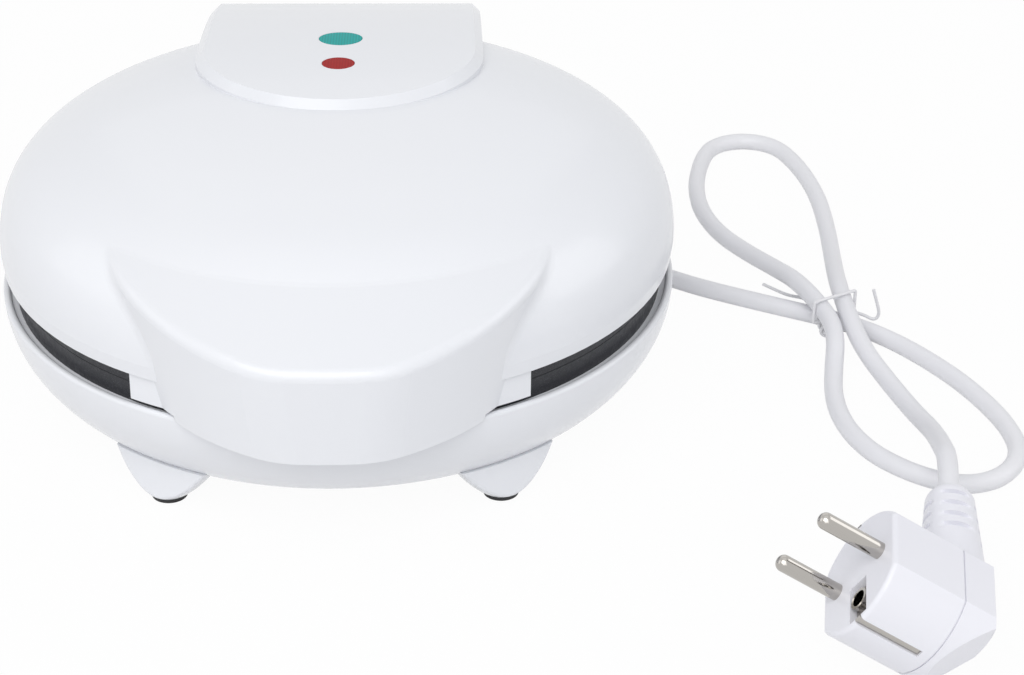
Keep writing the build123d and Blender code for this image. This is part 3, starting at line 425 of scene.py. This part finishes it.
# Wire tie round the two raised strands: its loop, the twist at its end and two loose tails
loop = [tie_point(0.0, TIE_LOW)]
for across, up in ((-1, TIE_LOW), (-1, TIE_HIGH), (1, TIE_HIGH), (1, TIE_LOW)):
    corner = tie_point(across * TIE_HALF_WIDTH, up)
    inward = TIE_WAY * (-across * TIE_CORNER)
    level = Vector((0.0, 0.0, TIE_CORNER if up == TIE_LOW else -TIE_CORNER))
    ends = [corner + inward, corner, corner + level]
    loop += ends if (across < 0) == (up == TIE_LOW) else ends[::-1]
loop.append(tie_point(TIE_LAP, TIE_LOW))
right_tail = [tie_point(TIE_HALF_WIDTH - RIGHT_TAIL_INSET, TIE_LOW)] + RIGHT_TAIL
tie = wire("wire_tie", [loop, twist(0.0), twist(math.pi), LEFT_TAIL, right_tail], TIE_RADIUS)
tie.data.materials.append(MATERIALS["tie_white"])
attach(tie, "base")
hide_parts("twist_tie")

# Floor
floor_mesh = bpy.data.meshes.new("floor")
floor_corners = [(x * FLOOR_HALF, y * FLOOR_HALF, 0) for x, y in ((-1, -1), (1, -1), (1, 1), (-1, 1))]
floor_mesh.from_pydata(floor_corners, [], [(0, 1, 2, 3)])
floor = bpy.data.objects.new("floor", floor_mesh)
scene.collection.objects.link(floor)
floor_material, floor_shader = plain_material("floor", FLOOR_COLOR, 0.9, specular=0.0)
floor.data.materials.append(floor_material)


def seen_directly(tree, share):
    """Factor that is share for what the camera sees, also in reflections and through clear pieces."""
    path = tree.nodes.new("ShaderNodeLightPath")
    total = path.outputs["Is Camera Ray"]
    for ray in ("Is Glossy Ray", "Is Transmission Ray"):
        add = tree.nodes.new("ShaderNodeMath")
        add.operation = "MAXIMUM"
        tree.links.new(total, add.inputs[0])
        tree.links.new(path.outputs[ray], add.inputs[1])
        total = add.outputs[0]
    scale = tree.nodes.new("ShaderNodeMath")
    scale.operation = "MULTIPLY"
    scale.inputs[1].default_value = share
    tree.links.new(total, scale.inputs[0])
    return scale.outputs[0]


# The floor is whitened where it is looked at, and keeps part of the object's shadow
tree = floor_material.node_tree
glow = new_node(tree, "ShaderNodeEmission", Color=WHITE, Strength=1.0)
choice = tree.nodes.new("ShaderNodeMixShader")
tree.links.new(seen_directly(tree, FLOOR_WHITENING), choice.inputs[0])
tree.links.new(floor_shader.outputs[0], choice.inputs[1])
tree.links.new(glow.outputs[0], choice.inputs[2])
tree.links.new(choice.outputs[0], tree.nodes["Material Output"].inputs["Surface"])

# World: white where it is looked at, soft light otherwise
world = bpy.data.worlds.new("studio")
scene.world = world
world.use_nodes = True
tree = world.node_tree
tree.nodes.clear()
soft = new_node(tree, "ShaderNodeBackground", Color=SKY_COLOR, Strength=SKY_STRENGTH)
white = new_node(tree, "ShaderNodeBackground", Color=WHITE, Strength=1.0)
choice = tree.nodes.new("ShaderNodeMixShader")
output = tree.nodes.new("ShaderNodeOutputWorld")
tree.links.new(seen_directly(tree, 1.0), choice.inputs[0])
tree.links.new(soft.outputs[0], choice.inputs[1])
tree.links.new(white.outputs[0], choice.inputs[2])
tree.links.new(choice.outputs[0], output.inputs["Surface"])


def softbox(name, place, width, depth, power):
    """Rectangular studio light that points at the object."""
    lamp = bpy.data.lights.new(name, "AREA")
    lamp.shape = "RECTANGLE"
    lamp.size = width
    lamp.size_y = depth
    lamp.energy = power
    made = bpy.data.objects.new(name, lamp)
    made.location = place
    made.rotation_euler = (Vector(AIM) - Vector(place)).to_track_quat("-Z", "Y").to_euler()
    scene.collection.objects.link(made)


for name, (place, width, depth, power) in LAMPS.items():
    softbox(name, place, width, depth, power)

# Camera
yaw = math.radians(CAMERA_YAW)
pitch = math.radians(CAMERA_PITCH)
roll = math.radians(CAMERA_ROLL)
ahead = Vector((math.sin(yaw) * math.cos(pitch), math.cos(yaw) * math.cos(pitch), -math.sin(pitch)))
level_right = Vector((math.cos(yaw), -math.sin(yaw), 0.0))
level_down = ahead.cross(level_right)
right = level_right * math.cos(roll) + level_down * math.sin(roll)
down = -level_right * math.sin(roll) + level_down * math.cos(roll)
turn = Matrix((right, -down, -ahead)).transposed().to_4x4()
lens_data = bpy.data.cameras.new("camera")
lens_data.sensor_width = SENSOR_WIDTH
lens_data.lens = FOCAL_PIXELS / PICTURE_WIDTH * SENSOR_WIDTH
lens_data.clip_start = NEAR_CLIP
camera = bpy.data.objects.new("camera", lens_data)
camera.matrix_world = Matrix.Translation(Vector(CAMERA_PLACE) * MM) @ turn
scene.collection.objects.link(camera)
scene.camera = camera
scene.view_settings.view_transform = "Standard"
